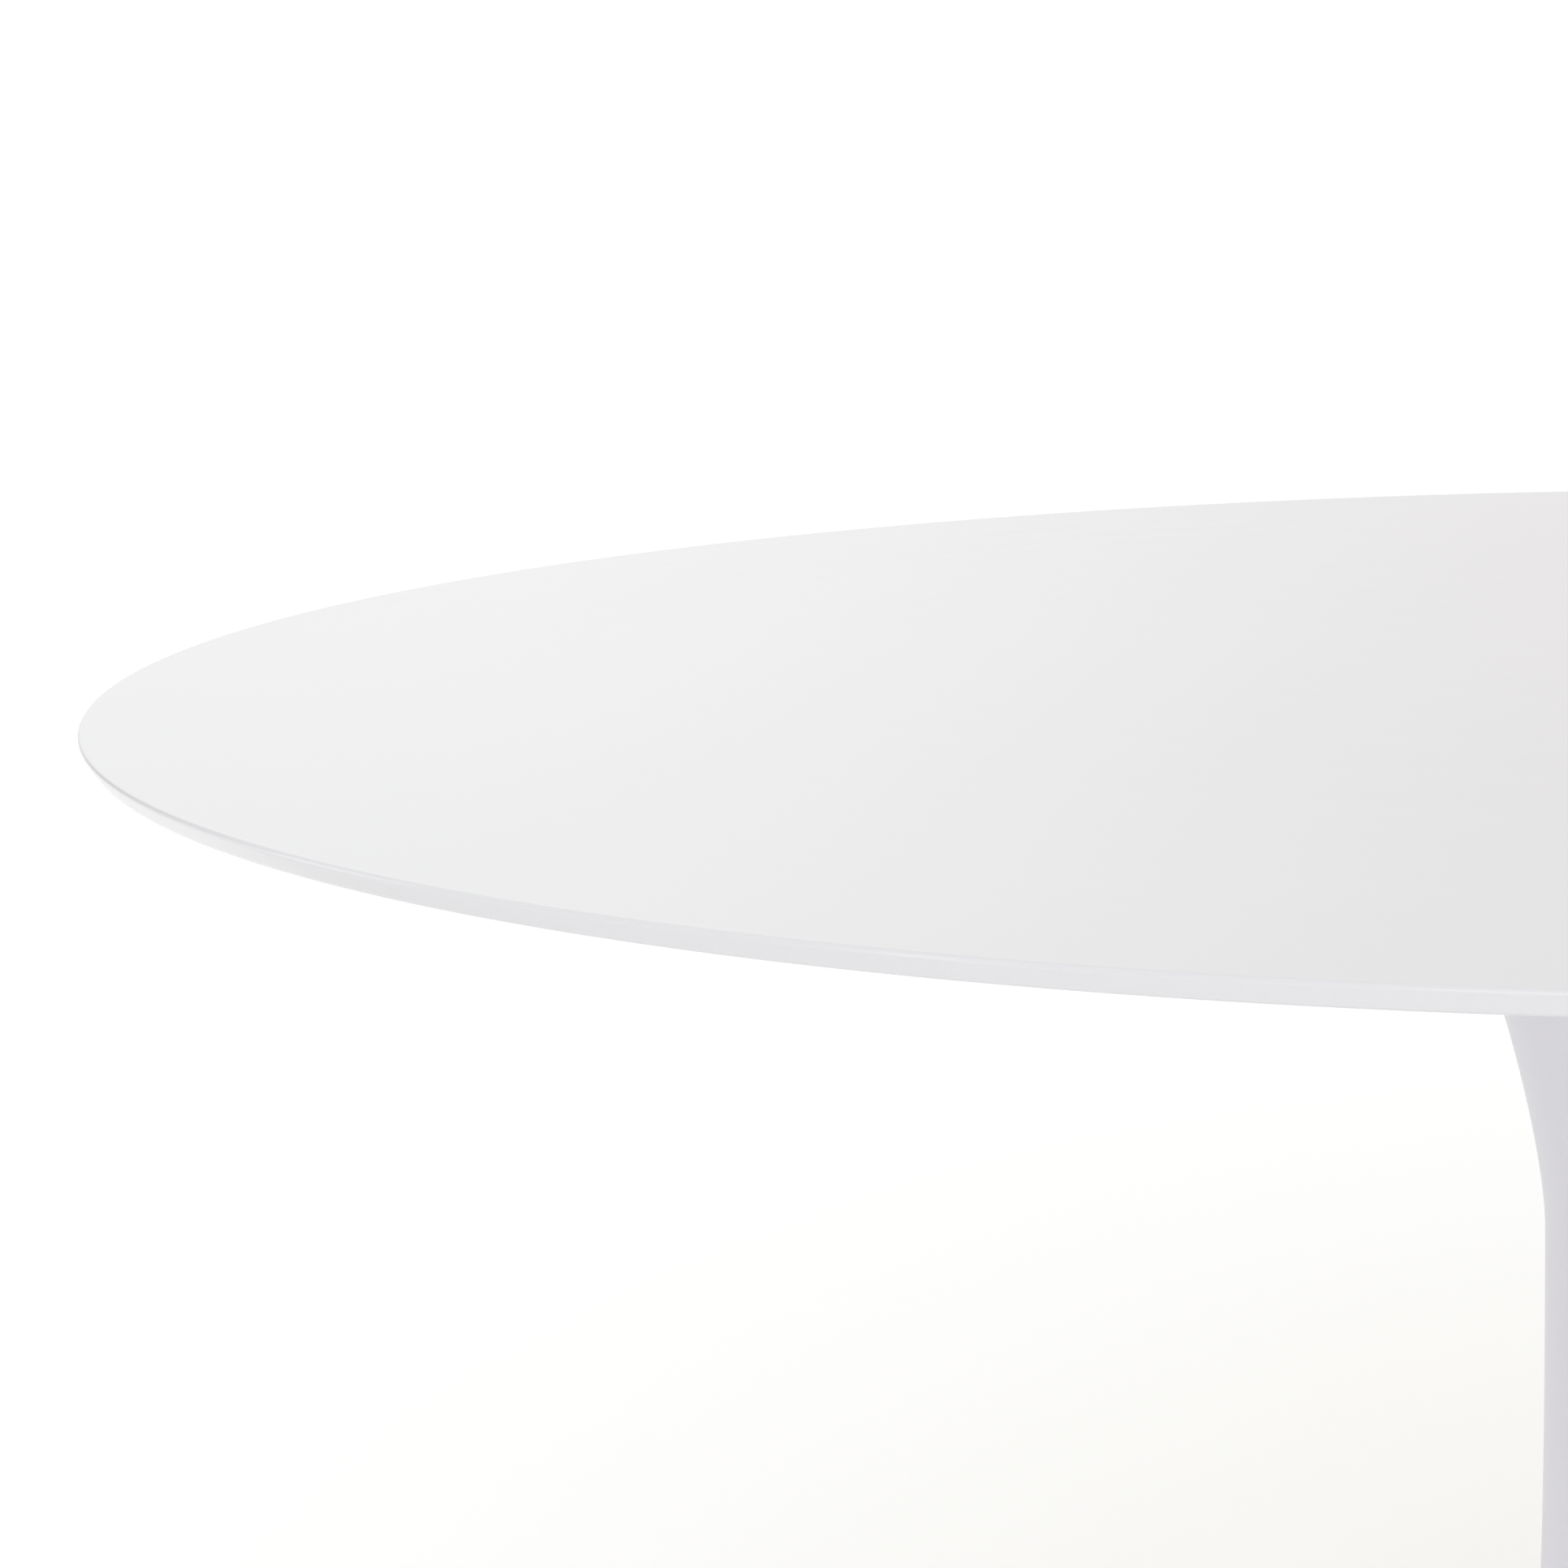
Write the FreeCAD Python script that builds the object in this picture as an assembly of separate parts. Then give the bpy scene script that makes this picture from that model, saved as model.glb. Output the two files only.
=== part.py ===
import FreeCAD, Part
import math
import os

# Round pedestal table: a lacquered disc on a slender trumpet column, in millimetres.
# The floor is z = 0, the column stands on the Z axis, and every piece is a solid of its own.

# Overall sizes
table_height = 740.0
top_diameter = 1200.0
foot_diameter = 680.0
neck_radius = 42.7
wall = 5.0

# Table top: a thick board whose underside is bevelled towards a thin, undercut rim
top_thickness = 18.0
edge_thickness = 7.3
edge_lean = 33.7  # degrees between the rim face and the vertical
edge_round_upper = 1.1
edge_round_lower = 2.5
bevel_angle = 8.0
bevel_round = 6.0

# Mounting plate, which is screwed under the top and sits in the head of the column
plate_radius = 115.0
plate_thickness = 5.0
plate_round = 0.6
plate_lip_gap = 1.0
lip_width = 19.0
lip_land = 2.5
gasket_thickness = 1.5
gasket_width = 19.0
seat_thickness = 8.0
shadow_gap = 1.0

# Hub under the plate, threaded for the tie rod
hub_radius = 20.0
hub_length = 35.0
hub_spigot_radius = 12.0
hub_round = 1.0
hub_thread_stop = 4.0  # from the plate down to the end of the thread

# Column and foot
neck_drop = 220.3  # from the underside of the top down to the narrowest section
flare_handle_low = 49.8
flare_handle_high = 48.7
flare_end_angle = 7.0
sweep_offset = 9.3  # how far outside the neck the flat sweep of the foot begins
joint_z = 150.0
joint_ring_thickness = 10.0
joint_ring_bore = 20.0
spigot_radius = 36.0
spigot_wall = 8.0
spigot_length = 6.0
socket_clearance = 0.25
dowel_radius = 3.0
dowel_round = 0.8
dowel_circle = 49.0
dowel_count = 2
dowel_depth_column = 8.0
dowel_depth_foot = 10.0
deck_thickness = 14.0
boss_radius = 30.0
boss_bottom_z = 36.0
foot_edge_height = 12.0
foot_edge_round = 4.0
foot_rim_width = 12.0
rib_count = 6
rib_thickness = 6.0
rib_bottom_z = 10.0
screw_boss_radius = 7.0

# Floor ring and cover
ring_thickness = 3.0
ring_inset = 1.0
ring_width = 9.0
ring_round = 0.8
tongue_width = 4.0
tongue_height = 3.9
tongue_round = 0.5
groove_depth = 4.0
cover_thickness = 2.0
cover_bottom_z = 3.5
cover_gap = 2.0
cover_round = 0.5
screw_inset = 94.8  # from the edge of the cover in to its screws

# M6 bolts and inserts that hold the plate to the top
bolt_count = 8
bolt_inset = 14.0  # from the inner edge of the gasket in to the bolts
bolt_engagement = 9.4  # length of bolt inside an insert
m6 = 3.0
m6_clearance = 3.3
m6_head_radius = 5.25
m6_head_height = 3.3
m6_socket_width = 4.0
m6_socket_depth = 2.0
m6_washer_bore = 3.2
m6_washer_radius = 6.0
m6_washer_thickness = 1.6
insert_radius = 5.0
insert_length = 12.0
insert_lead_length = 1.0
insert_lead_depth = 0.7

# M16 tie rod with its nuts and washers
m16 = 8.0
m16_clearance = 9.0
m16_nut_width = 24.0
m16_nut_height = 13.0
rod_chamfer = 1.5
rod_stick_out = 3.4
spring_washer_bore = 8.2
spring_washer_radius = 13.2
spring_washer_thickness = 3.6
spring_gap = 1.5
spring_gap_lean = 25.0
clamp_washer_bore = 8.5
clamp_washer_radius = 25.0
clamp_washer_thickness = 4.0
clamp_washer_round = 0.8
nut_face_share = 0.95  # flat face of a nut, as a share of its width
nut_chamfer_angle = 30.0

# M5 screws that hold the cover
m5 = 2.5
m5_clearance = 2.75
m5_head_radius = 4.75
m5_head_height = 2.4
m5_depth = 10.0
cross_length = 4.6
cross_width = 0.9
cross_depth = 1.5

# Shared details
head_rim = 0.6
head_crown_share = 0.5  # flat crown of a screw head, as a share of its radius
head_bulge = 0.5
screw_point = 1.0
end_clearance = 0.5  # free depth at the blind end of a bore
cut_margin = 1.0  # how far a cutter runs past the piece it cuts
tiny = 1e-9
halvings = 60

# Sizes that follow from the ones above
top_radius = top_diameter / 2
foot_radius = foot_diameter / 2
underside_z = table_height - top_thickness
plate_bottom_z = underside_z - plate_thickness
seat_z = plate_bottom_z - gasket_thickness
recess_radius = plate_radius + plate_lip_gap
seat_inner_radius = plate_radius - gasket_width
lip_radius = recess_radius + lip_width
lip_top_z = underside_z - shadow_gap
lip_low_z = lip_top_z - lip_land
neck_z = underside_z - neck_drop
column_floor_z = joint_z + joint_ring_thickness
bolt_circle = seat_inner_radius - bolt_inset
hub_bottom_z = plate_bottom_z - hub_length
hub_bore_top_z = plate_bottom_z - hub_thread_stop
tongue_radius = foot_radius - foot_rim_width / 2 + tongue_width / 2
cover_radius = foot_radius - foot_rim_width - cover_gap
cover_top_z = cover_bottom_z + cover_thickness
screw_circle = cover_radius - screw_inset
clamp_stack_z = boss_bottom_z - clamp_washer_thickness
nut_top_z = clamp_stack_z - spring_washer_thickness
nut_bottom_z = nut_top_z - m16_nut_height
rod_bottom_z = nut_bottom_z - rod_stick_out
rod_top_z = hub_bore_top_z - end_clearance


def at(r, z):
    """A point of a lathe outline, in the XZ plane."""
    return FreeCAD.Vector(r, 0, z)


def lathe(edges):
    """The solid swept by a closed outline turned once round the Z axis."""
    face = Part.Face(Part.Wire(edges))
    return face.revolve(at(0, 0), FreeCAD.Vector(0, 0, 1), 360)


def rounded(corners):
    """Edges of a closed polygon whose corners are (r, z, rounding radius)."""
    starts = []
    ends = []
    middles = []
    for i, (r, z, radius) in enumerate(corners):
        here = at(r, z)
        before = at(*corners[i - 1][:2]) - here
        after = at(*corners[(i + 1) % len(corners)][:2]) - here
        before.normalize()
        after.normalize()
        half = before.getAngle(after) / 2
        reach = radius / math.tan(half)
        bisector = before + after
        if radius > 0:
            bisector.normalize()
        starts.append(here + before * reach)
        ends.append(here + after * reach)
        middles.append(here + bisector * (radius / math.sin(half) - radius))
    edges = []
    for i, (r, z, radius) in enumerate(corners):
        if radius > 0:
            edges.append(Part.Arc(starts[i], middles[i], ends[i]).toShape())
        following = starts[(i + 1) % len(corners)]
        if (following - ends[i]).Length > tiny:
            edges.append(Part.makeLine(ends[i], following))
    return edges


def turned(corners):
    """A lathe solid from (r, z, rounding radius) corners."""
    return lathe(rounded(corners))


def tube(inner, outer, low, high):
    """A plain ring, or a disc when the inner radius is zero."""
    body = Part.makeCylinder(outer, high - low, at(0, low))
    if inner > 0:
        body = body.cut(Part.makeCylinder(inner, high - low, at(0, low)))
    return body


def chain(points):
    """Straight edges from each point to the next."""
    return [Part.makeLine(p, q) for p, q in zip(points, points[1:])]


def bezier(poles):
    """The edge of a Bezier curve through its control points."""
    curve = Part.BezierCurve()
    curve.setPoles(poles)
    return curve.toShape()


def split(poles, z):
    """Cut a falling or rising cubic at a height, by de Casteljau's construction."""
    low = 0.0
    high = 1.0
    rising = poles[3].z > poles[0].z
    for _ in range(halvings):
        t = (low + high) / 2
        a, b, c = [p + (q - p) * t for p, q in zip(poles, poles[1:])]
        d = a + (b - a) * t
        e = b + (c - b) * t
        middle = d + (e - d) * t
        if (middle.z < z) == rising:
            low = t
        else:
            high = t
    return [poles[0], a, d, middle], [middle, e, c, poles[3]]


def offset(poles, distance):
    """Control points of the cubic that runs a wall's thickness to the inside."""
    legs = []
    for p, q in zip(poles, poles[1:]):
        along = q - p
        along.normalize()
        side = at(-along.z, along.x)
        if side.x > 0 or (abs(side.x) < tiny and side.z > 0):
            side = side * -1
        legs.append((p + side * distance, q + side * distance, along))
    result = [legs[0][0]]
    for (_, corner, u), (start, _, v) in zip(legs, legs[1:]):
        cross = u.x * v.z - u.z * v.x
        if abs(cross) < tiny:
            result.append(start)
            continue
        gap = start - corner
        result.append(corner + u * ((gap.x * v.z - gap.z * v.x) / cross))
    result.append(legs[-1][1])
    return result


def flare_poles():
    """Outer curve from the neck up to the lip under the table top."""
    end = math.radians(flare_end_angle)
    handle = at(-math.cos(end), -math.sin(end)) * flare_handle_high
    lip = at(lip_radius, lip_low_z)
    return [at(neck_radius, neck_z), at(neck_radius, neck_z + flare_handle_low), lip + handle, lip]


def trumpet_poles():
    """Outer curve from the neck down to the edge of the foot."""
    edge = at(foot_radius - foot_edge_round, foot_edge_height)
    sweep = at(neck_radius + sweep_offset, foot_edge_height)
    return [at(neck_radius, neck_z), at(neck_radius, joint_z), sweep, edge]


def ring_places(count, radius):
    """Points evenly spaced on a circle round the axis."""
    places = []
    for i in range(count):
        angle = 2 * math.pi * i / count
        places.append(FreeCAD.Vector(radius * math.cos(angle), radius * math.sin(angle), 0))
    return places


def copies(shape, places):
    """The same piece standing at several places."""
    result = []
    for place in places:
        piece = shape.copy()
        piece.translate(place)
        result.append(piece)
    return Part.makeCompound(result)


def hex_prism(width, low, high):
    """A hexagonal bar given by its width across the flats."""
    corners = ring_places(6, width / math.sqrt(3))
    wire = Part.makePolygon(corners + corners[:1])
    body = Part.Face(wire).extrude(FreeCAD.Vector(0, 0, high - low))
    body.translate(at(0, low))
    return body


def hex_nut(width, bore, low, high):
    """A hexagon nut with both faces turned back at its corners."""
    reach = width / math.sqrt(3) + cut_margin
    face = nut_face_share * width / 2
    drop = (reach - face) * math.tan(math.radians(nut_chamfer_angle))
    blank = turned(
        [(0, low, 0), (face, low, 0), (reach, low + drop, 0), (reach, high - drop, 0),
         (face, high, 0), (0, high, 0)]
    )
    return hex_prism(width, low, high).common(blank).cut(tube(0, bore, low, high))


def domed_screw(shank, head_radius, head_height, seat, end):
    """A screw pointing up, with a domed head under its seat and a chamfered tip."""
    low = seat - head_height
    crown = at(head_radius * head_crown_share, low)
    rim = at(head_radius, seat - head_rim)
    chord = rim - crown
    outward = at(chord.z, -chord.x)
    outward.normalize()
    dome = Part.Arc(crown, crown + chord * 0.5 + outward * head_bulge, rim).toShape()
    outline = chain(
        [rim, at(head_radius, seat), at(shank, seat), at(shank, end - screw_point),
         at(shank - screw_point, end), at(0, end), at(0, low), crown]
    )
    return lathe([dome] + outline)


def tabletop():
    """Board with a bevelled underside and bores for the threaded inserts."""
    half = math.radians(90 - edge_lean) / 2
    corner = top_radius + edge_round_upper / math.tan(half) - edge_round_upper
    edge_z = table_height - edge_thickness
    edge_r = corner - edge_thickness * math.tan(math.radians(edge_lean))
    bevel_r = edge_r - (top_thickness - edge_thickness) / math.tan(math.radians(bevel_angle))
    board = turned(
        [(0, underside_z, 0), (bevel_r, underside_z, bevel_round),
         (edge_r, edge_z, edge_round_lower), (corner, table_height, edge_round_upper),
         (0, table_height, 0)]
    )
    bore = tube(0, insert_radius, underside_z, underside_z + insert_length + end_clearance)
    return board.cut(copies(bore, ring_places(bolt_count, bolt_circle)))


def thread_inserts():
    """Threaded sleeves screwed into the underside of the board."""
    top = underside_z + insert_length
    sleeve = turned(
        [(m6, underside_z, 0), (insert_radius, underside_z, 0),
         (insert_radius, top - insert_lead_length, 0),
         (insert_radius - insert_lead_depth, top, 0), (m6, top, 0)]
    )
    return copies(sleeve, ring_places(bolt_count, bolt_circle))


def mounting_plate():
    """Flat steel disc between the column's head and the board."""
    plate = turned(
        [(hub_spigot_radius, plate_bottom_z, 0), (plate_radius, plate_bottom_z, plate_round),
         (plate_radius, underside_z, 0), (hub_spigot_radius, underside_z, 0)]
    )
    hole = tube(0, m6_clearance, plate_bottom_z, underside_z)
    return plate.cut(copies(hole, ring_places(bolt_count, bolt_circle)))


def plate_hub():
    """Threaded boss welded into the middle of the plate, which takes the tie rod."""
    return turned(
        [(m16, hub_bottom_z, 0), (hub_radius, hub_bottom_z, hub_round),
         (hub_radius, plate_bottom_z, 0), (hub_spigot_radius, plate_bottom_z, 0),
         (hub_spigot_radius, underside_z, 0), (0, underside_z, 0), (0, hub_bore_top_z, 0),
         (m16, hub_bore_top_z, 0)]
    )


def plate_washers():
    """Plain washers under the bolt heads."""
    low = plate_bottom_z - m6_washer_thickness
    washer = tube(m6_washer_bore, m6_washer_radius, low, plate_bottom_z)
    return copies(washer, ring_places(bolt_count, bolt_circle))


def plate_bolts():
    """Button-head bolts with a hexagon socket, from the plate up into the inserts."""
    seat = plate_bottom_z - m6_washer_thickness
    low = seat - m6_head_height
    end = underside_z + bolt_engagement
    socket = hex_prism(m6_socket_width, low, low + m6_socket_depth)
    bolt = domed_screw(m6, m6_head_radius, m6_head_height, seat, end).cut(socket)
    return copies(bolt, ring_places(bolt_count, bolt_circle))


def collar_gasket():
    """Thin rubber ring between the plate and the seat in the column's head."""
    return tube(seat_inner_radius, plate_radius, seat_z, plate_bottom_z)


def column_blank():
    """The column as if it were solid, from the joint up to the lip."""
    flare = flare_poles()
    shaft, _ = split(trumpet_poles(), joint_z)
    outline = chain([flare[3], at(lip_radius, lip_top_z), at(0, lip_top_z), at(0, joint_z), shaft[3]])
    return lathe([bezier(flare)] + outline + [bezier(shaft[::-1])])


def column_cavity():
    """The hollow inside the column, narrowed at its head by the seat for the gasket."""
    flare = offset(flare_poles(), wall)
    shaft, _ = split(trumpet_poles(), joint_z)
    shaft, _ = split(offset(shaft, wall), column_floor_z)
    top = flare[3] + at(0, wall)
    outline = chain([flare[3], top, at(0, top.z), at(0, column_floor_z), shaft[3]])
    hollow = lathe([bezier(flare)] + outline + [bezier(shaft[::-1])])
    floor_z = column_floor_z - cut_margin
    seat_underside_z = seat_z - seat_thickness
    reach = tube(0, lip_radius, floor_z, seat_underside_z)
    reach = reach.fuse(tube(0, seat_inner_radius, floor_z, table_height))
    return hollow.common(reach)


def column():
    """Hollow casting from the lip under the top down to the joint with the foot."""
    casting = column_blank().cut(column_cavity())
    casting = casting.cut(tube(0, recess_radius, seat_z, table_height))
    spigot_z = joint_z - spigot_length
    spigot = tube(spigot_radius - spigot_wall, spigot_radius, spigot_z, joint_z + cut_margin)
    casting = casting.fuse(spigot)
    casting = casting.cut(tube(0, joint_ring_bore, joint_z, column_floor_z))
    hole = tube(0, dowel_radius, joint_z, joint_z + dowel_depth_column)
    return casting.cut(copies(hole, ring_places(dowel_count, dowel_circle))).removeSplitter()


def dowel_pins():
    """Pins that stop the column turning on the foot."""
    low = joint_z - dowel_depth_foot + end_clearance
    high = joint_z + dowel_depth_column - end_clearance
    pin = turned(
        [(0, low, 0), (dowel_radius, low, dowel_round), (dowel_radius, high, dowel_round),
         (0, high, 0)]
    )
    return copies(pin, ring_places(dowel_count, dowel_circle))


def foot_blank(poles):
    """The foot as if it were solid, from the floor ring up to the joint."""
    centre = poles[3] - at(0, foot_edge_round)
    diagonal = foot_edge_round * math.sqrt(0.5)
    edge = at(foot_radius, centre.z)
    rim = Part.Arc(poles[3], centre + at(diagonal, diagonal), edge).toShape()
    outline = chain(
        [edge, at(foot_radius, ring_thickness), at(0, ring_thickness), at(0, joint_z), poles[0]]
    )
    return lathe([bezier(poles), rim] + outline)


def foot_cavity(poles):
    """The hollow under the foot, closed above by a thick deck."""
    _, inner = split(offset(poles, wall), joint_z - deck_thickness)
    start = inner[0]
    end = inner[3]
    low = ring_thickness
    outline = chain([end, at(end.x, low), at(0, low), at(0, start.z), start])
    hollow = lathe([bezier(inner)] + outline)
    return hollow.common(tube(0, foot_radius - foot_rim_width, low, joint_z))


def foot_ribs():
    """Central boss, radial ribs and the bosses for the cover screws."""
    body = tube(0, boss_radius, boss_bottom_z, joint_z)
    under_boss = tube(0, boss_radius, 0, boss_bottom_z)
    under_ribs = tube(0, screw_circle + cut_margin, 0, rib_bottom_z)
    corner = FreeCAD.Vector(0, -rib_thickness / 2, 0)
    rib = Part.makeBox(screw_circle, rib_thickness, joint_z, corner).cut(under_boss).cut(under_ribs)
    for _ in range(rib_count):
        rib.rotate(at(0, 0), FreeCAD.Vector(0, 0, 1), 360 / rib_count)
        body = body.fuse(rib)
    boss = tube(0, screw_boss_radius, cover_top_z, joint_z)
    return body.fuse(copies(boss, ring_places(rib_count, screw_circle)).Solids)


def foot():
    """Trumpet-shaped casting with a socket for the column and a groove for its ring."""
    _, poles = split(trumpet_poles(), joint_z)
    hollow = foot_cavity(poles).cut(foot_ribs())
    casting = foot_blank(poles).cut(hollow)
    socket_z = joint_z - spigot_length - end_clearance
    casting = casting.cut(tube(0, spigot_radius + socket_clearance, socket_z, joint_z))
    casting = casting.cut(tube(0, m16_clearance, 0, joint_z))
    dowel_hole = tube(0, dowel_radius, joint_z - dowel_depth_foot, joint_z)
    casting = casting.cut(copies(dowel_hole, ring_places(dowel_count, dowel_circle)))
    screw_hole = tube(0, m5, cover_top_z, cover_top_z + m5_depth)
    casting = casting.cut(copies(screw_hole, ring_places(rib_count, screw_circle)))
    groove_z = ring_thickness + groove_depth
    groove = tube(tongue_radius - tongue_width, tongue_radius, ring_thickness, groove_z)
    return casting.cut(groove).removeSplitter()


def foot_ring():
    """Rubber ring under the foot, held by a tongue in a groove."""
    outer = foot_radius - ring_inset
    inner = outer - ring_width
    high = ring_thickness + tongue_height
    return turned(
        [(inner, 0, ring_round), (outer, 0, ring_round), (outer, ring_thickness, 0),
         (tongue_radius, ring_thickness, 0), (tongue_radius, high, tongue_round),
         (tongue_radius - tongue_width, high, tongue_round),
         (tongue_radius - tongue_width, ring_thickness, 0), (inner, ring_thickness, 0)]
    )


def tie_rod():
    """Threaded rod that pulls the plate, the column and the foot together."""
    end = m16 - rod_chamfer
    return turned(
        [(0, rod_bottom_z, 0), (end, rod_bottom_z, 0), (m16, rod_bottom_z + rod_chamfer, 0),
         (m16, rod_top_z - rod_chamfer, 0), (end, rod_top_z, 0), (0, rod_top_z, 0)]
    )


def hub_locknut():
    """Nut that locks the rod against the hub."""
    return hex_nut(m16_nut_width, m16, hub_bottom_z - m16_nut_height, hub_bottom_z)


def clamp_washer():
    """Thick washer under the central boss of the foot."""
    return turned(
        [(clamp_washer_bore, clamp_stack_z, 0),
         (clamp_washer_radius, clamp_stack_z, clamp_washer_round),
         (clamp_washer_radius, boss_bottom_z, 0), (clamp_washer_bore, boss_bottom_z, 0)]
    )


def spring_washer():
    """Split washer, drawn flat as it is when the nut is tight."""
    ring = tube(spring_washer_bore, spring_washer_radius, nut_top_z, clamp_stack_z)
    corner = FreeCAD.Vector(0, -spring_gap / 2, nut_top_z - spring_washer_thickness)
    length = spring_washer_radius + cut_margin
    slot = Part.makeBox(length, spring_gap, 3 * spring_washer_thickness, corner)
    middle = at(0, (nut_top_z + clamp_stack_z) / 2)
    slot.rotate(middle, FreeCAD.Vector(1, 0, 0), spring_gap_lean)
    return ring.cut(slot)


def rod_nut():
    """Nut that tightens the whole pedestal from below."""
    return hex_nut(m16_nut_width, m16, nut_bottom_z, nut_top_z)


def base_cover():
    """Thin disc that closes the underside of the foot."""
    disc = turned(
        [(0, cover_bottom_z, 0), (cover_radius, cover_bottom_z, cover_round),
         (cover_radius, cover_top_z, cover_round), (0, cover_top_z, 0)]
    )
    hole = tube(0, m5_clearance, cover_bottom_z, cover_top_z)
    return disc.cut(copies(hole, ring_places(rib_count, screw_circle)))


def cover_screws():
    """Pan-head screws with a cross recess."""
    end = cover_top_z + m5_depth - end_clearance
    low = cover_bottom_z - m5_head_height
    screw = domed_screw(m5, m5_head_radius, m5_head_height, cover_bottom_z, end)
    for length, width in ((cross_length, cross_width), (cross_width, cross_length)):
        corner = FreeCAD.Vector(-length / 2, -width / 2, low)
        screw = screw.cut(Part.makeBox(length, width, cross_depth, corner))
    return copies(screw, ring_places(rib_count, screw_circle))


pieces = {
    "tabletop": tabletop(),
    "thread_inserts": thread_inserts(),
    "mounting_plate": mounting_plate(),
    "plate_hub": plate_hub(),
    "plate_washers": plate_washers(),
    "plate_bolts": plate_bolts(),
    "collar_gasket": collar_gasket(),
    "column": column(),
    "dowel_pins": dowel_pins(),
    "foot": foot(),
    "foot_ring": foot_ring(),
    "tie_rod": tie_rod(),
    "hub_locknut": hub_locknut(),
    "clamp_washer": clamp_washer(),
    "spring_washer": spring_washer(),
    "rod_nut": rod_nut(),
    "base_cover": base_cover(),
    "cover_screws": cover_screws(),
}

os.makedirs("parts", exist_ok=True)
for name, shape in pieces.items():
    shape.exportStep("parts/" + name + ".step")
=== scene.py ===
"""The looks of a round pedestal table: a lacquered disc on a coated trumpet pedestal, in metres."""

import math

import bmesh
import bpy
from mathutils import Matrix, Vector


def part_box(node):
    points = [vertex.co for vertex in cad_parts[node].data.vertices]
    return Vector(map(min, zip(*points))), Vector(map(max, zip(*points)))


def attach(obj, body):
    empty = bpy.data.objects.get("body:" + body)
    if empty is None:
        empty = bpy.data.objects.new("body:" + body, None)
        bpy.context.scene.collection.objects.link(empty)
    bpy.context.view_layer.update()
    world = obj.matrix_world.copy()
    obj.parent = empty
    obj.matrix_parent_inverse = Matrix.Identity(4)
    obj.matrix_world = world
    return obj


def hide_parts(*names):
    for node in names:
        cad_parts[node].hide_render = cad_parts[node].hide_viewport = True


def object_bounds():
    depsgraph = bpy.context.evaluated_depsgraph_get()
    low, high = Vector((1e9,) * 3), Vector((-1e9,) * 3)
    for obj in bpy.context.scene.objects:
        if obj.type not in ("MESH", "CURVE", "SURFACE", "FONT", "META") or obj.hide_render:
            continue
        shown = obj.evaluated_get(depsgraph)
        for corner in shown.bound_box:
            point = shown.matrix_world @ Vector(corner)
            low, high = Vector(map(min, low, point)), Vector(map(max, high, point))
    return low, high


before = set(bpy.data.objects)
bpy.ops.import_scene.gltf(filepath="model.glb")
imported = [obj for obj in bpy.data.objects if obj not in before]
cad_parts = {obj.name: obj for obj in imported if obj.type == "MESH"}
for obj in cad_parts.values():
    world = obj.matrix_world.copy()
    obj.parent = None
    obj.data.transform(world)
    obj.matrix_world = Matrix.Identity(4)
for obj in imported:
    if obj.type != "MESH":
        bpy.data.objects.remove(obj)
cad_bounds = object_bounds()

MM = 0.001

# Gaps round the mounting plate, as in the CAD part
plate_lip_gap = 1 * MM
seat_width = 20 * MM

# Sizes read from the frame
top_low, top_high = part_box("tabletop")
column_low, column_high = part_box("column")
foot_low, foot_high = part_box("foot")
_, ring_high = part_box("foot_ring")
_, plate_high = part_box("mounting_plate")
gasket_low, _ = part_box("collar_gasket")

top_radius = top_high.x
table_height = top_high.z
underside_z = top_low.z
lip_radius = column_high.x
lip_top_z = column_high.z
spigot_low_z = column_low.z
foot_radius = foot_high.x
joint_z = foot_high.z
ring_top_z = foot_low.z
seat_z = gasket_low.z
recess_radius = plate_high.x + plate_lip_gap
seat_inner_radius = recess_radius - seat_width

# Shape of the rim, as in the CAD part
edge_thickness = 7.3 * MM
edge_lean = math.radians(33.7)
bevel_angle = math.radians(8)
bevel_round = 6 * MM
edge_round_upper = 1.1 * MM
edge_round_lower = 2.5 * MM

# Shape of the pedestal, as in the CAD part
wall = 5 * MM
neck_radius = 42.7 * MM
neck_drop = 220.3 * MM
neck_z = underside_z - neck_drop
flare_handle_low = 49.8 * MM
flare_handle_high = 48.7 * MM
flare_end_angle = math.radians(7)
lip_land = 2.5 * MM
sweep_offset = 9.3 * MM
foot_edge_height = 12 * MM
foot_edge_round = 4 * MM
foot_rim_width = 12 * MM

# Head of the column, and the joint between column and foot, as in the CAD part
seat_thickness = 8 * MM
cavity_margin = 1 * MM
joint_ring_thickness = 10 * MM
joint_ring_bore = 20 * MM
spigot_radius = 36 * MM
spigot_bore = 28 * MM
socket_radius = 36.25 * MM
socket_depth = 6.5 * MM
deck_thickness = 14 * MM
rod_bore = 9 * MM

# Floor ring, as in the CAD part
ring_width = 9 * MM
ring_round = 0.8 * MM
tongue_width = 4 * MM
tongue_round = 0.5 * MM

# Small roundings that catch the light along edges and seams
seam_round = 0.35 * MM
fine_round = 0.4 * MM

# How finely each turned piece is divided round the axis and along its curves
TOP_SEGMENTS = 720
COLUMN_SEGMENTS = 256
FOOT_SEGMENTS = 384
FLOOR_SEGMENTS = 96
FLARE_STEPS = 56
UPPER_TRUMPET_STEPS = 72
LOWER_TRUMPET_STEPS = 96

# Radii of extra rings on the flat faces, as shares, which keep them flat when shaded
UNDERSIDE_RINGS = (0.2, 0.45, 0.7, 0.9)
TOP_RINGS = (1, 0.97, 0.85, 0.65, 0.45, 0.25, 0.1)


# ---------------------------------------------------------------- outlines


def bezier(poles, count):
    """Points along a Bezier curve of any degree."""
    points = []
    for i in range(count + 1):
        t = i / count
        row = [Vector(p) for p in poles]
        while len(row) > 1:
            row = [a.lerp(b, t) for a, b in zip(row, row[1:])]
        points.append(row[0])
    return points


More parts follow.
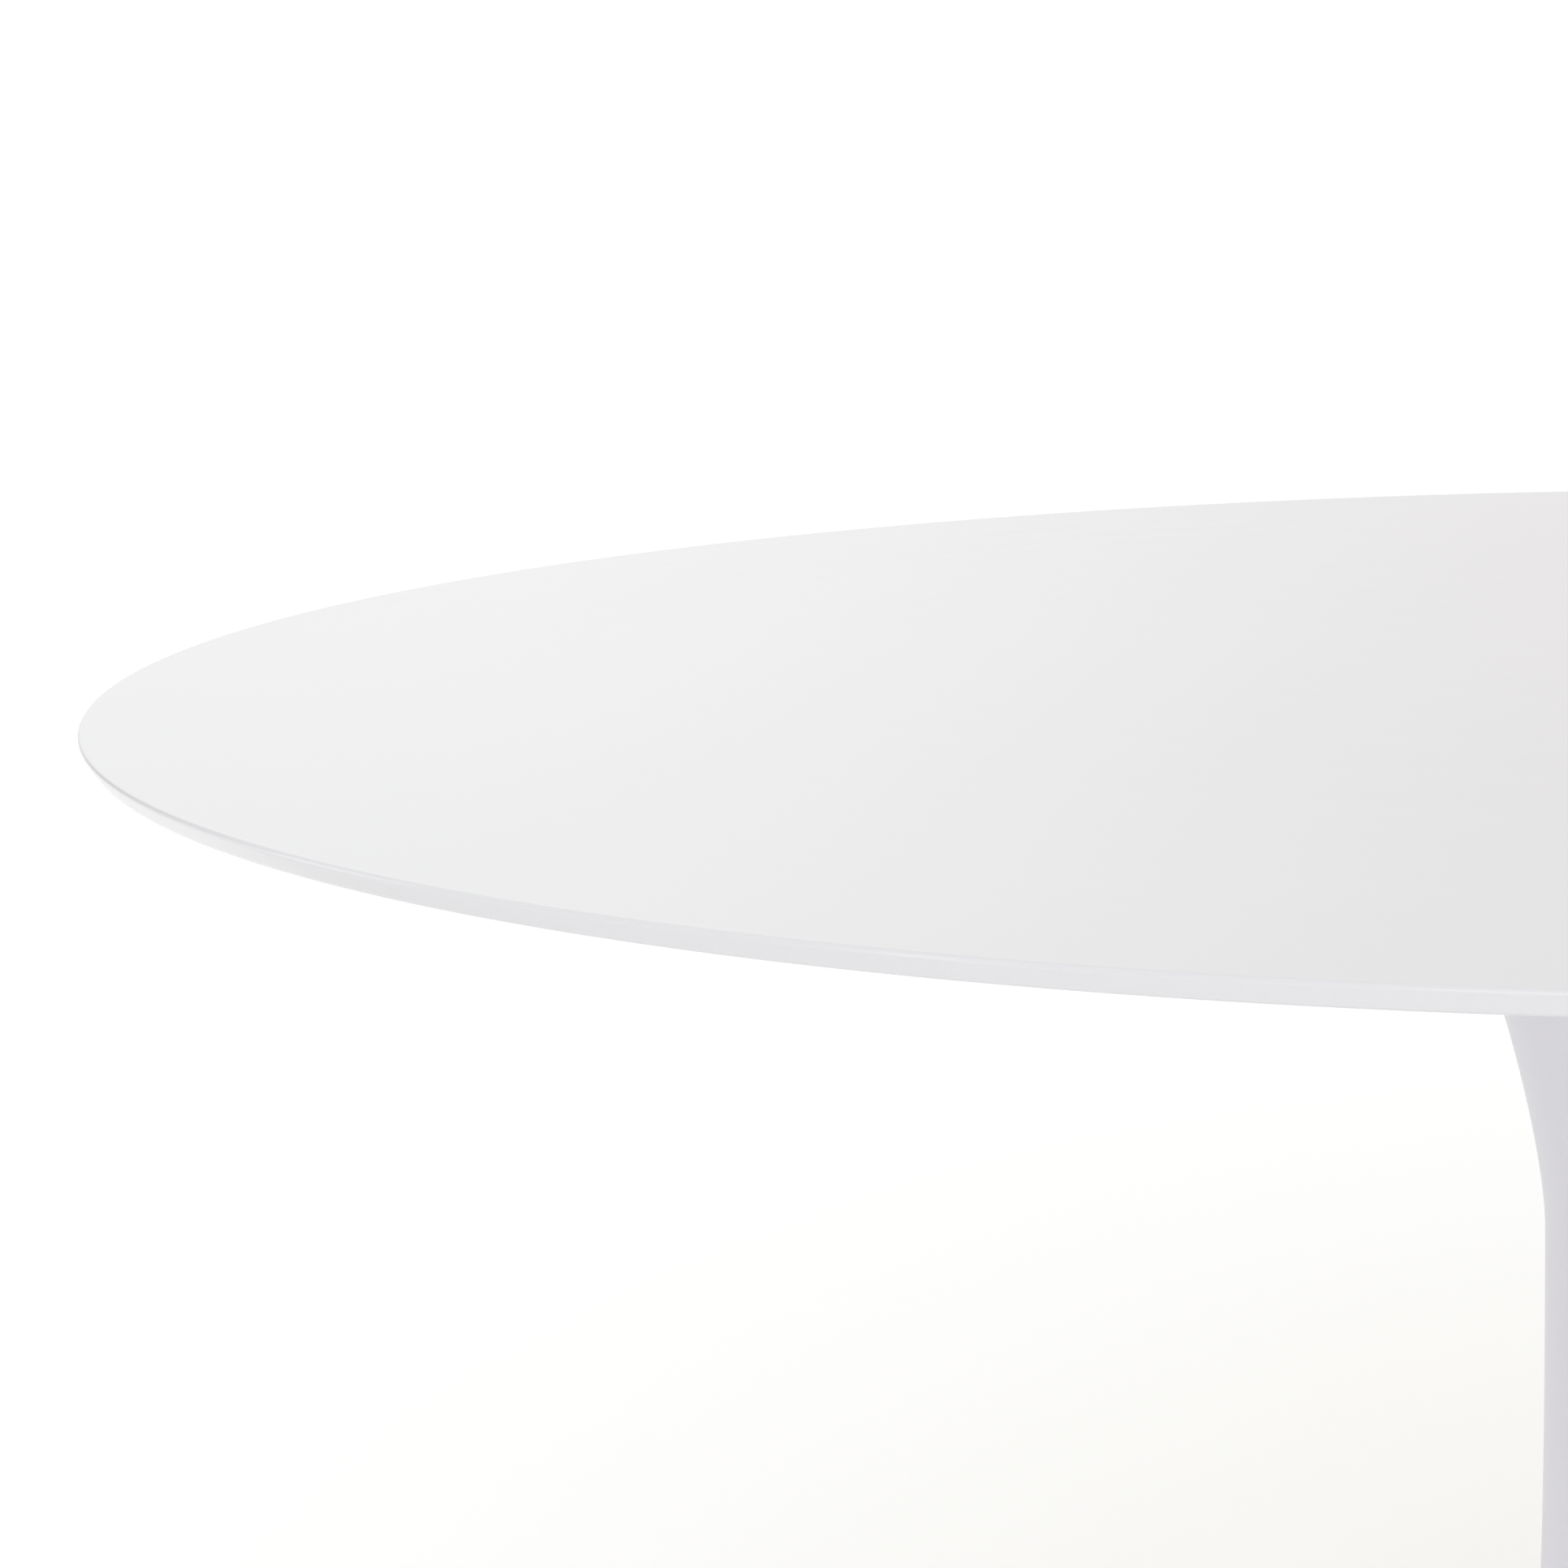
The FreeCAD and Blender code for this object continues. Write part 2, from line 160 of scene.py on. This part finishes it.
def rounded(corners, steps=8):
    """Points of an outline whose corners are (r, z, rounding radius), in order."""
    points = []
    for i, (r, z, radius) in enumerate(corners):
        here = Vector((r, z))
        if radius == 0:
            points.append(here)
            continue
        before = (Vector(corners[i - 1][:2]) - here).normalized()
        after = (Vector(corners[(i + 1) % len(corners)][:2]) - here).normalized()
        half = before.angle(after) / 2
        bisector = (before + after).normalized()
        centre = here + bisector * (radius / math.sin(half))
        start = here + before * (radius / math.tan(half)) - centre
        end = here + after * (radius / math.tan(half)) - centre
        sweep = start.angle_signed(end)
        for step in range(steps + 1):
            points.append(centre + Matrix.Rotation(-sweep * step / steps, 2) @ start)
    return points


def split(poles, z, halvings=50):
    """Cut a falling cubic at a height, by de Casteljau's construction."""
    low, high = 0.0, 1.0
    for _ in range(halvings):
        t = (low + high) / 2
        row = [Vector(p) for p in poles]
        first, last = [row[0]], [row[-1]]
        while len(row) > 1:
            row = [a.lerp(b, t) for a, b in zip(row, row[1:])]
            first.append(row[0])
            last.insert(0, row[-1])
        if row[0].y > z:
            low = t
        else:
            high = t
    return first, last


def inset(points, distance):
    """The same outline moved sideways by a wall's thickness."""
    moved = []
    for i, here in enumerate(points):
        along = (points[min(i + 1, len(points) - 1)] - points[max(i - 1, 0)]).normalized()
        moved.append(here + Vector((along.y, -along.x)) * distance)
    return moved


def flare_outline(count):
    """Outer curve of the column from its neck up to the lip."""
    lip = Vector((lip_radius, lip_top_z - lip_land))
    back = Vector((math.cos(flare_end_angle), math.sin(flare_end_angle))) * flare_handle_high
    neck = Vector((neck_radius, neck_z))
    return bezier([neck, neck + Vector((0, flare_handle_low)), lip - back, lip], count)


def trumpet():
    """Control points of the outer curves of the column's lower part and of the foot."""
    poles = [
        (neck_radius, neck_z),
        (neck_radius, joint_z),
        (neck_radius + sweep_offset, foot_edge_height),
        (foot_radius - foot_edge_round, foot_edge_height),
    ]
    return split(poles, joint_z)


# ---------------------------------------------------------------- meshes


AXIS_LIMIT = 1e-7  # a smaller radius counts as a point on the axis


def lathe(name, outline, segments, closed=True, sharp_degrees=35):
    """A smooth surface of revolution round the Z axis. An outline point at r = 0 becomes a pole."""
    mesh = bmesh.new()
    turns = [2 * math.pi / segments * k for k in range(segments)]
    around = [(math.cos(turn), math.sin(turn)) for turn in turns]
    rings = []
    for r, z in outline:
        if r < AXIS_LIMIT:
            rings.append([mesh.verts.new((0, 0, z))])
        else:
            rings.append([mesh.verts.new((r * cosine, r * sine, z)) for cosine, sine in around])
    pairs = list(zip(rings, rings[1:]))
    if closed:
        pairs.append((rings[-1], rings[0]))
    for inner, outer in pairs:
        if len(inner) == 1 and len(outer) == 1:
            continue
        for k in range(segments):
            n = (k + 1) % segments
            corners = [inner[k % len(inner)], outer[k % len(outer)]]
            if len(outer) > 1:
                corners.append(outer[n])
            if len(inner) > 1:
                corners.append(inner[n])
            mesh.faces.new(corners)
    bmesh.ops.recalc_face_normals(mesh, faces=mesh.faces)
    for face in mesh.faces:
        face.smooth = True
    data = bpy.data.meshes.new(name)
    mesh.to_mesh(data)
    mesh.free()
    data.set_sharp_from_angle(angle=math.radians(sharp_degrees))
    piece = bpy.data.objects.new(name, data)
    bpy.context.scene.collection.objects.link(piece)
    return piece


def dress(piece, node, material):
    """The piece stands for a CAD node and moves with the table."""
    piece.data.materials.append(material)
    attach(piece, "root")
    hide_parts(node)


def build_top(material):
    """Disc with the thin undercut rim."""
    half = (math.pi / 2 - edge_lean) / 2
    corner = top_radius + edge_round_upper / math.tan(half) - edge_round_upper
    edge_r = corner - edge_thickness * math.tan(edge_lean)
    edge_z = table_height - edge_thickness
    bevel_r = edge_r - (edge_z - underside_z) / math.tan(bevel_angle)
    flat_end = corner - edge_round_upper / math.tan(half) - fine_round
    outline = [Vector((0, underside_z))]
    outline += [Vector((bevel_r * share, underside_z)) for share in UNDERSIDE_RINGS]
    outline += rounded(
        [
            (bevel_r * UNDERSIDE_RINGS[-1], underside_z, 0),
            (bevel_r, underside_z, bevel_round),
            (edge_r, edge_z, edge_round_lower),
            (corner, table_height, edge_round_upper),
            (0, table_height, 0),
        ],
        steps=16,
    )[1:-1]
    outline += [Vector((flat_end * share, table_height)) for share in TOP_RINGS]
    outline.append(Vector((0, table_height)))
    top = lathe("tabletop_lacquered", outline, TOP_SEGMENTS, closed=False)
    dress(top, "tabletop", material)


def build_column(material):
    """Hollow casting: flare, neck and the upper part of the trumpet."""
    upper, _ = trumpet()
    outer = flare_outline(FLARE_STEPS)[::-1][:-1] + bezier(upper, UPPER_TRUMPET_STEPS)
    joint_r = outer[-1].x
    seam = [
        (outer[-2].x, outer[-2].y, 0),
        (joint_r, joint_z, seam_round),
        (joint_r - wall, joint_z, 0),
    ]
    outer = outer[:-1] + rounded(seam, steps=4)[1:-1]
    ring_z = joint_z + joint_ring_thickness
    seat_low_z = seat_z - seat_thickness
    cavity = [p for p in inset(outer, wall) if ring_z < p.y < seat_low_z - cavity_margin]
    head = rounded(
        [
            (seat_inner_radius, seat_low_z, fine_round),
            (seat_inner_radius, seat_z, fine_round),
            (recess_radius, seat_z, 0),
            (recess_radius, lip_top_z, fine_round),
            (lip_radius, lip_top_z, fine_round),
            (lip_radius, lip_top_z - lip_land, 0),
        ],
        steps=4,
    )
    bottom = rounded(
        [
            (spigot_radius, joint_z, 0),
            (spigot_radius, spigot_low_z, fine_round),
            (spigot_bore, spigot_low_z, fine_round),
            (spigot_bore, joint_z, 0),
            (joint_ring_bore, joint_z, fine_round),
            (joint_ring_bore, ring_z, fine_round),
            (cavity[-1].x, ring_z, 0),
        ],
        steps=4,
    )
    outline = head[:-1] + outer + bottom + cavity[::-1]
    piece = lathe("column_casting", outline, COLUMN_SEGMENTS)
    dress(piece, "column", material)


def build_foot(material):
    """Trumpet foot with a rolled edge; the ribs and bosses inside stay behind the cover."""
    _, poles = trumpet()
    outer = bezier(poles, LOWER_TRUMPET_STEPS)
    inner_edge_r = foot_radius - foot_rim_width
    edge = rounded(
        [
            (outer[-1].x, foot_edge_height, 0),
            (foot_radius, foot_edge_height, foot_edge_round),
            (foot_radius, ring_top_z, fine_round),
            (inner_edge_r, ring_top_z, fine_round),
        ],
        steps=12,
    )[1:]
    deck_z = joint_z - deck_thickness
    socket_z = joint_z - socket_depth
    cavity = [p for p in inset(outer, wall) if p.y < deck_z and p.x < inner_edge_r]
    head = rounded(
        [
            (rod_bore, deck_z, 0),
            (rod_bore, socket_z, 0),
            (socket_radius, socket_z, 0),
            (socket_radius, joint_z, fine_round),
            (outer[0].x, joint_z, seam_round),
            (outer[1].x, outer[1].y, 0),
        ],
        steps=4,
    )
    outline = head[:-1] + outer[1:-1] + edge + cavity[::-1] + [Vector((cavity[0].x, deck_z))]
    piece = lathe("foot_casting", outline, FOOT_SEGMENTS)
    dress(piece, "foot", material)


def build_ring(material):
    """Soft floor ring with a tongue up into the foot."""
    outer = ring_high.x
    inner = outer - ring_width
    tongue_outer = foot_radius - foot_rim_width / 2 + tongue_width / 2
    tongue_inner = tongue_outer - tongue_width
    outline = rounded(
        [
            (inner, 0, ring_round),
            (outer, 0, ring_round),
            (outer, ring_top_z, 0),
            (tongue_outer, ring_top_z, 0),
            (tongue_outer, ring_high.z, tongue_round),
            (tongue_inner, ring_high.z, tongue_round),
            (tongue_inner, ring_top_z, 0),
            (inner, ring_top_z, 0),
        ],
        steps=6,
    )
    piece = lathe("foot_ring_rubber", outline, FOOT_SEGMENTS)
    dress(piece, "foot_ring", material)


# ---------------------------------------------------------------- materials

LACQUER_SHADE = (0.797, 0.796, 0.798)
LACQUER_LIGHT = (0.806, 0.805, 0.806)
NIB_COLOR = (0.62, 0.60, 0.60)
# Both coat tones are white with a painted cool lilac tint, the bluish light the castings get in the shade
# under the top
COAT_SHADE = (0.760, 0.752, 0.785)
COAT_LIGHT = (0.795, 0.790, 0.812)
RING_DARK = (0.055, 0.055, 0.058)
RING_DUST = (0.13, 0.13, 0.13)
GASKET_DARK = (0.012, 0.012, 0.012)
GASKET_DUST = (0.05, 0.05, 0.05)
COVER_BLACK = (0.022, 0.022, 0.024)
COVER_WORN = (0.075, 0.074, 0.074)
ZINC_DARK = (0.50, 0.51, 0.53)
ZINC_LIGHT = (0.66, 0.66, 0.65)
BRASS_BRIGHT = (0.72, 0.50, 0.20)
BRASS_TARNISH = (0.45, 0.30, 0.12)
PRIMER_BLACK = (0.018, 0.018, 0.019)
PRIMER_THIN = (0.10, 0.10, 0.10)
FLOOR_SHADE = (0.86, 0.858, 0.852)
FLOOR_LIGHT = (0.875, 0.873, 0.866)


class Nodes:
    """A small helper that adds and joins shader nodes."""

    def __init__(self, name):
        self.material = bpy.data.materials.new(name)
        self.material.use_nodes = True
        self.tree = self.material.node_tree
        self.shader = self.tree.nodes["Principled BSDF"]

    def add(self, kind, settings=None, **inputs):
        node = self.tree.nodes.new(kind)
        for key, value in (settings or {}).items():
            setattr(node, key, value)
        for key, value in inputs.items():
            self.feed(node.inputs[key.replace("_", " ")], value)
        return node

    def feed(self, socket, value):
        if isinstance(value, bpy.types.NodeSocket):
            self.tree.links.new(value, socket)
        else:
            socket.default_value = value

    def math(self, operation, first, second=0.0, clamp=False):
        node = self.add("ShaderNodeMath", {"operation": operation, "use_clamp": clamp})
        self.feed(node.inputs[0], first)
        self.feed(node.inputs[1], second)
        return node.outputs[0]

    def place(self):
        return self.add("ShaderNodeTexCoord").outputs["Object"]

    def noise(self, place, scale, detail=3.0, roughness=0.5):
        node = self.add("ShaderNodeTexNoise", Vector=place, Scale=scale, Detail=detail, Roughness=roughness)
        return node.outputs["Fac"]

    def spread(self, value, low, high, to_low=0.0, to_high=1.0):
        node = self.add("ShaderNodeMapRange", {"clamp": True}, Value=value)
        node.inputs["From Min"].default_value = low
        node.inputs["From Max"].default_value = high
        node.inputs["To Min"].default_value = to_low
        node.inputs["To Max"].default_value = to_high
        return node.outputs["Result"]

    def blend(self, share, first, second):
        node = self.add("ShaderNodeMix", {"data_type": "RGBA"})
        self.feed(node.inputs[0], share)
        self.feed(node.inputs[6], (*first, 1) if isinstance(first, tuple) else first)
        self.feed(node.inputs[7], (*second, 1) if isinstance(second, tuple) else second)
        return node.outputs[2]

    def bump(self, height, distance, strength=1.0, before=None):
        node = self.add("ShaderNodeBump", Height=height, Distance=distance, Strength=strength)
        if before is not None:
            self.feed(node.inputs["Normal"], before)
        return node.outputs["Normal"]

    def finish(self, color, roughness, normal, **constants):
        self.feed(self.shader.inputs["Base Color"], color)
        self.feed(self.shader.inputs["Roughness"], roughness)
        self.feed(self.shader.inputs["Normal"], normal)
        for key, value in constants.items():
            self.shader.inputs[key.replace("_", " ")].default_value = value
        return self.material


def round_place(nodes, round_scale, across_scale):
    """Coordinates that change slowly round the Z axis and quickly across it, with no seam."""
    x, y, z = nodes.add("ShaderNodeSeparateXYZ", Vector=nodes.place()).outputs
    squares = nodes.math("ADD", nodes.math("MULTIPLY", x, x), nodes.math("MULTIPLY", y, y))
    radius = nodes.math("SQRT", squares)
    safe = nodes.math("MAXIMUM", radius, 1 * MM)
    across = nodes.math("MULTIPLY", nodes.math("ADD", radius, z), across_scale)
    joined = nodes.add("ShaderNodeCombineXYZ")
    nodes.feed(joined.inputs[0], nodes.math("MULTIPLY", nodes.math("DIVIDE", x, safe), round_scale))
    nodes.feed(joined.inputs[1], nodes.math("MULTIPLY", nodes.math("DIVIDE", y, safe), round_scale))
    nodes.feed(joined.inputs[2], across)
    return joined.outputs[0]


def lacquer():
    """White sprayed lacquer: orange peel, faint polishing arcs and a few dust nibs."""
    n = Nodes("white_lacquer")
    place = n.place()
    arcs_share = 0.65
    nib_share = 0.35
    arcs = n.noise(round_place(n, round_scale=1.3, across_scale=24.0), scale=1.0, detail=3.5)
    clouds = n.noise(place, scale=2.3)
    peel = n.noise(place, scale=190.0, detail=2.0)
    waves = n.noise(place, scale=22.0, detail=2.0)
    nibs = n.add("ShaderNodeTexVoronoi", {"feature": "F1"}, Vector=place, Scale=34.0)
    nib = n.spread(nibs.outputs["Distance"], 0.012, 0.028, to_low=1.0, to_high=0.0)
    tone = n.math("ADD", n.math("MULTIPLY", arcs, arcs_share), n.math("MULTIPLY", clouds, 1 - arcs_share))
    color = n.blend(n.spread(tone, 0.35, 0.65), LACQUER_SHADE, LACQUER_LIGHT)
    color = n.blend(n.math("MULTIPLY", nib, nib_share), color, NIB_COLOR)
    roughness = n.spread(tone, 0.35, 0.65, to_low=0.205, to_high=0.23)
    normal = n.bump(waves, distance=0.1 * MM, strength=0.35)
    normal = n.bump(peel, distance=0.01 * MM, strength=0.5, before=normal)
    normal = n.bump(nib, distance=0.05 * MM, strength=0.4, before=normal)
    return n.finish(color, roughness, normal, IOR=1.5, Coat_Weight=0.25, Coat_Roughness=0.06)


def powder_coat():
    """White fused coat on the castings, with a finer and rougher texture than the top; its cool lilac tint
    is painted shade, standing in for the bluish light under the top.
    """
    n = Nodes("fused_coat")
    place = n.place()
    clouds = n.noise(place, scale=6.0, detail=4.0)
    grain = n.noise(place, scale=420.0, detail=2.0)
    peel = n.noise(place, scale=130.0, detail=2.0)
    # Random cloudy tone between the two coat colours, both carrying the painted lilac shade tint
    color = n.blend(n.spread(clouds, 0.3, 0.7), COAT_SHADE, COAT_LIGHT)
    grain_share = 0.4
    mottle = n.math("ADD", clouds, n.math("MULTIPLY", grain, grain_share))
    roughness = n.spread(mottle, 0.45, 0.95, to_low=0.30, to_high=0.42)
    normal = n.bump(peel, distance=0.06 * MM, strength=0.5)
    normal = n.bump(grain, distance=0.02 * MM, strength=0.5, before=normal)
    return n.finish(color, roughness, normal, IOR=1.5, Coat_Weight=0.1, Coat_Roughness=0.2)


def rubber(name, dark, light):
    """Matt rubber with a fine moulded grain and a little dust."""
    n = Nodes(name)
    place = n.place()
    grain = n.noise(place, scale=900.0)
    dust = n.noise(place, scale=14.0, detail=4.0, roughness=0.65)
    color = n.blend(n.spread(dust, 0.4, 0.75), dark, light)
    roughness = n.spread(dust, 0.3, 0.7, to_low=0.72, to_high=0.9)
    return n.finish(color, roughness, n.bump(grain, distance=0.06 * MM, strength=0.6))


def cover_plastic():
    """Black moulded plastic with a leather-like grain and light scuffs."""
    n = Nodes("cover_plastic")
    place = n.place()
    cells = n.add("ShaderNodeTexVoronoi", {"feature": "SMOOTH_F1"}, Vector=place, Scale=520.0)
    scuff_place = n.add("ShaderNodeMapping", Vector=place, Scale=(1.0, 14.0, 1.0))
    scuffs = n.noise(scuff_place.outputs[0], scale=26.0, detail=5.0, roughness=0.7)
    worn = n.spread(scuffs, 0.58, 0.75)
    wear_share = 0.6
    color = n.blend(n.math("MULTIPLY", worn, wear_share), COVER_BLACK, COVER_WORN)
    roughness = n.spread(scuffs, 0.3, 0.75, to_low=0.5, to_high=0.72)
    return n.finish(color, roughness, n.bump(cells.outputs["Distance"], distance=0.1 * MM, strength=0.6))


def zinc_steel():
    """Zinc-plated steel: patchy sheen with fine turning marks."""
    n = Nodes("zinc_steel")
    place = n.place()
    patches = n.add("ShaderNodeTexVoronoi", {"feature": "F1"}, Vector=place, Scale=260.0)
    marks = n.noise(round_place(n, round_scale=3.0, across_scale=2600.0), scale=1.0, detail=2.0)
    mottle = n.noise(place, scale=60.0)
    color = n.blend(n.spread(mottle, 0.3, 0.7), ZINC_DARK, ZINC_LIGHT)
    roughness = n.spread(patches.outputs["Distance"], 0.0, 1.0, to_low=0.26, to_high=0.44)
    return n.finish(color, roughness, n.bump(marks, distance=0.02 * MM, strength=0.5), Metallic=1.0)


def insert_brass():
    """Turned brass, slightly tarnished."""
    n = Nodes("insert_brass")
    place = n.place()
    tarnish = n.noise(place, scale=90.0, detail=4.0)
    marks = n.noise(place, scale=900.0, detail=2.0)
    color = n.blend(n.spread(tarnish, 0.35, 0.7), BRASS_BRIGHT, BRASS_TARNISH)
    roughness = n.spread(tarnish, 0.3, 0.7, to_low=0.25, to_high=0.5)
    return n.finish(color, roughness, n.bump(marks, distance=0.02 * MM, strength=0.4), Metallic=1.0)


def black_plate():
    """Steel plate under a thin matt black primer."""
    n = Nodes("black_plate")
    place = n.place()
    grain = n.noise(place, scale=500.0)
    thin = n.noise(place, scale=35.0, detail=5.0, roughness=0.65)
    color = n.blend(n.spread(thin, 0.55, 0.8, to_high=0.7), PRIMER_BLACK, PRIMER_THIN)
    roughness = n.spread(thin, 0.3, 0.8, to_low=0.6, to_high=0.42)
    return n.finish(color, roughness, n.bump(grain, distance=0.05 * MM, strength=0.6))


def paint_node(name, material):
    """A CAD node that is kept gets its material on every slot it has."""
    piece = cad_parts[name]
    piece.data.materials.clear()
    piece.data.materials.append(material)


# ---------------------------------------------------------------- stage

# Painted light: the floor glows though it is no lamp, in place of light it would bounce onto the rim, with
# its own glow in front of the table, on its left, and behind it near to and far from a painted shadow
GLOW_FRONT = (0.11, 0.10, 0.11)
GLOW_LEFT = (0.0, 0.0, 0.0)
GLOW_NEAR = (0.15, 0.14, 0.11)
GLOW_FAR = (0.25, 0.25, 0.24)

# Where one glow fades into the next, in metres on the floor
# Centre of the painted shadow of the table, where the floor's painted glow is dimmest and warmest
PAINTED_SHADOW_CENTRE = (0.35, 0.75, 0.0)
PAINTED_SHADOW_FADE = (0.3, 1.7)
BEHIND_FADE = (0.1, 0.6)
LEFT_FADE = (-1.0, 0.2)

FLOOR_RINGS = (0, 0.5, 1, 2, 4, 8, 16, 32, 64)
FLOOR_DROP = 0.2 * MM


def floor_material():
    """Plain pale studio floor with a painted glow of its own and a soft warm painted shadow behind the
    table.
    """
    n = Nodes("studio_floor")
    place = n.place()
    tone = n.noise(place, scale=0.8, detail=2.0)
    shade_place = n.add("ShaderNodeVectorMath", {"operation": "DISTANCE"}, Vector=place)
    shade_place.inputs[1].default_value = PAINTED_SHADOW_CENTRE
    clear = n.spread(shade_place.outputs["Value"], *PAINTED_SHADOW_FADE)
    across, along, _ = n.add("ShaderNodeSeparateXYZ", Vector=place).outputs
    behind = n.spread(along, *BEHIND_FADE)
    color = n.blend(tone, FLOOR_SHADE, FLOOR_LIGHT)
    # Painted shadow: the glow is dimmer and warmer near the shadow's centre
    glow = n.blend(clear, GLOW_NEAR, GLOW_FAR)
    front = n.blend(n.spread(across, *LEFT_FADE), GLOW_LEFT, GLOW_FRONT)
    glow = n.blend(behind, front, glow)
    normal = n.bump(tone, distance=0.1 * MM, strength=0.1)
    # The glow is painted light, given out by the floor as emission
    material = n.finish(color, 0.9, normal, Emission_Strength=1.0)
    n.feed(n.shader.inputs["Emission Color"], glow)
    return material


def build_floor():
    """A wide round floor, a fraction of a millimetre under the table."""
    outline = [Vector((r, 0)) for r in FLOOR_RINGS]
    floor = lathe("studio_floor", outline, FLOOR_SEGMENTS, closed=False)
    floor.location.z = cad_bounds[0][2] - FLOOR_DROP
    floor.data.materials.append(floor_material())


# Colours of the world's regions
SURROUNDINGS = {
    "overhead": (0.94, 0.95, 0.96),
    "horizon": (1.03, 1.01, 1.01),
    "mirror_left": (1.07, 1.07, 1.06),
    "mirror_right": (0.86, 0.82, 0.82),
    "side_left": (0.45, 0.41, 0.45),
    "side_right": (0.50, 0.49, 0.50),
}

# Where one region fades into the next, as a component of the view direction
MIRROR_FADE = (-0.34, 0.06)
HORIZON_FADE = (0.04, 0.12)
SIDES_FADE = (-0.3, 0.3)
BACK_FADE = (0.70, 0.88)
OVERHEAD_FADE = (0.22, 0.60)


def build_world():
    """Studio surroundings as soft regions: overhead, both sides, the back and what the top mirrors."""
    world = bpy.data.worlds.new("studio_world")
    bpy.context.scene.world = world
    world.use_nodes = True
    tree = world.node_tree
    tree.nodes.clear()
    colors = {}
    for name, color in SURROUNDINGS.items():
        colors[name] = tree.nodes.new("ShaderNodeRGB").outputs[0]
        colors[name].default_value = (*color, 1)
    place = tree.nodes.new("ShaderNodeTexCoord")
    axes = tree.nodes.new("ShaderNodeSeparateXYZ")
    tree.links.new(place.outputs["Generated"], axes.inputs[0])

    def fade(axis, limits, below, above):
        ramp = tree.nodes.new("ShaderNodeMapRange")
        ramp.interpolation_type = "SMOOTHSTEP"
        tree.links.new(axes.outputs[axis], ramp.inputs["Value"])
        ramp.inputs["From Min"].default_value = limits[0]
        ramp.inputs["From Max"].default_value = limits[1]
        mix = tree.nodes.new("ShaderNodeMix")
        mix.data_type = "RGBA"
        tree.links.new(ramp.outputs["Result"], mix.inputs[0])
        tree.links.new(below, mix.inputs[6])
        tree.links.new(above, mix.inputs[7])
        return mix.outputs[2]

    mirrored = fade("X", MIRROR_FADE, colors["mirror_left"], colors["mirror_right"])
    back = fade("Z", HORIZON_FADE, colors["horizon"], mirrored)
    sides = fade("X", SIDES_FADE, colors["side_left"], colors["side_right"])
    low = fade("Y", BACK_FADE, sides, back)
    background = tree.nodes.new("ShaderNodeBackground")
    tree.links.new(fade("Z", OVERHEAD_FADE, low, colors["overhead"]), background.inputs["Color"])
    output = tree.nodes.new("ShaderNodeOutputWorld")
    tree.links.new(background.outputs[0], output.inputs["Surface"])


SOFT_BOX_REACH = 3.0

# name, bearing, height, width and length in degrees, watts, colour
SOFT_BOXES = (
    ("front_box", 0, 3, 24, 34, 11.8, (0.97, 0.98, 1.0)),
    ("strip_box", 40, 3, 4, 34, 3.4, (0.98, 0.99, 1.0)),
    ("left_box", 86, 8, 14, 24, 4.0, (0.99, 0.99, 1.0)),
)


def soft_box(name, bearing, height, wide, tall, power, color):
    """A soft box turned towards the middle of the top. Bearings run from the camera's side
    towards the left, and all angles are in degrees as seen from the table."""
    turn, rise = math.radians(bearing), math.radians(height)
    light = bpy.data.lights.new(name, "AREA")
    light.shape = "RECTANGLE"
    light.size = 2 * SOFT_BOX_REACH * math.tan(math.radians(wide / 2))
    light.size_y = 2 * SOFT_BOX_REACH * math.tan(math.radians(tall / 2))
    light.energy = power
    light.color = color
    toward = Vector((-math.sin(turn) * math.cos(rise), -math.cos(turn) * math.cos(rise), math.sin(rise)))
    lamp = bpy.data.objects.new(name, light)
    lamp.location = Vector((0, 0, table_height)) + toward * SOFT_BOX_REACH
    lamp.rotation_euler = (-toward).to_track_quat("-Z", "Y").to_euler()
    bpy.context.scene.collection.objects.link(lamp)


def build_lights():
    """The soft boxes whose reflections draw bright lines along the rounded rim."""
    for box in SOFT_BOXES:
        soft_box(*box)


def build_camera():
    """Close-up over the left half of the top, a little above its surface."""
    distance = 1.3915
    rise = 0.1864
    yaw = math.radians(14.128)
    pitch = math.radians(9.777)
    roll = math.radians(-2.025)
    forward = Vector((-math.sin(yaw) * math.cos(pitch), math.cos(yaw) * math.cos(pitch), -math.sin(pitch)))
    level = Vector((math.cos(yaw), math.sin(yaw), 0))
    above = level.cross(forward)
    right = level * math.cos(roll) + above * math.sin(roll)
    up = above * math.cos(roll) - level * math.sin(roll)
    data = bpy.data.cameras.new("camera")
    data.sensor_fit = "HORIZONTAL"
    data.sensor_width = 24
    data.lens = 54
    data.clip_start = 0.02
    camera = bpy.data.objects.new("camera", data)
    turn = Matrix((right, up, -forward)).transposed().to_4x4()
    camera.matrix_world = Matrix.Translation((0, -distance, table_height + rise)) @ turn
    bpy.context.scene.collection.objects.link(camera)
    bpy.context.scene.camera = camera


# ---------------------------------------------------------------- assembly

FASTENERS = (
    "plate_washers",
    "plate_bolts",
    "dowel_pins",
    "tie_rod",
    "hub_locknut",
    "clamp_washer",
    "spring_washer",
    "rod_nut",
    "cover_screws",
)

coat = powder_coat()
steel = zinc_steel()
plate = black_plate()

build_top(lacquer())
build_column(coat)
build_foot(coat)
build_ring(rubber("ring_rubber", RING_DARK, RING_DUST))

paint_node("base_cover", cover_plastic())
paint_node("collar_gasket", rubber("gasket_rubber", GASKET_DARK, GASKET_DUST))
paint_node("thread_inserts", insert_brass())
paint_node("mounting_plate", plate)
paint_node("plate_hub", plate)
for fastener in FASTENERS:
    paint_node(fastener, steel)

build_floor()
build_world()
build_lights()
build_camera()
bpy.context.scene.view_settings.view_transform = "Standard"
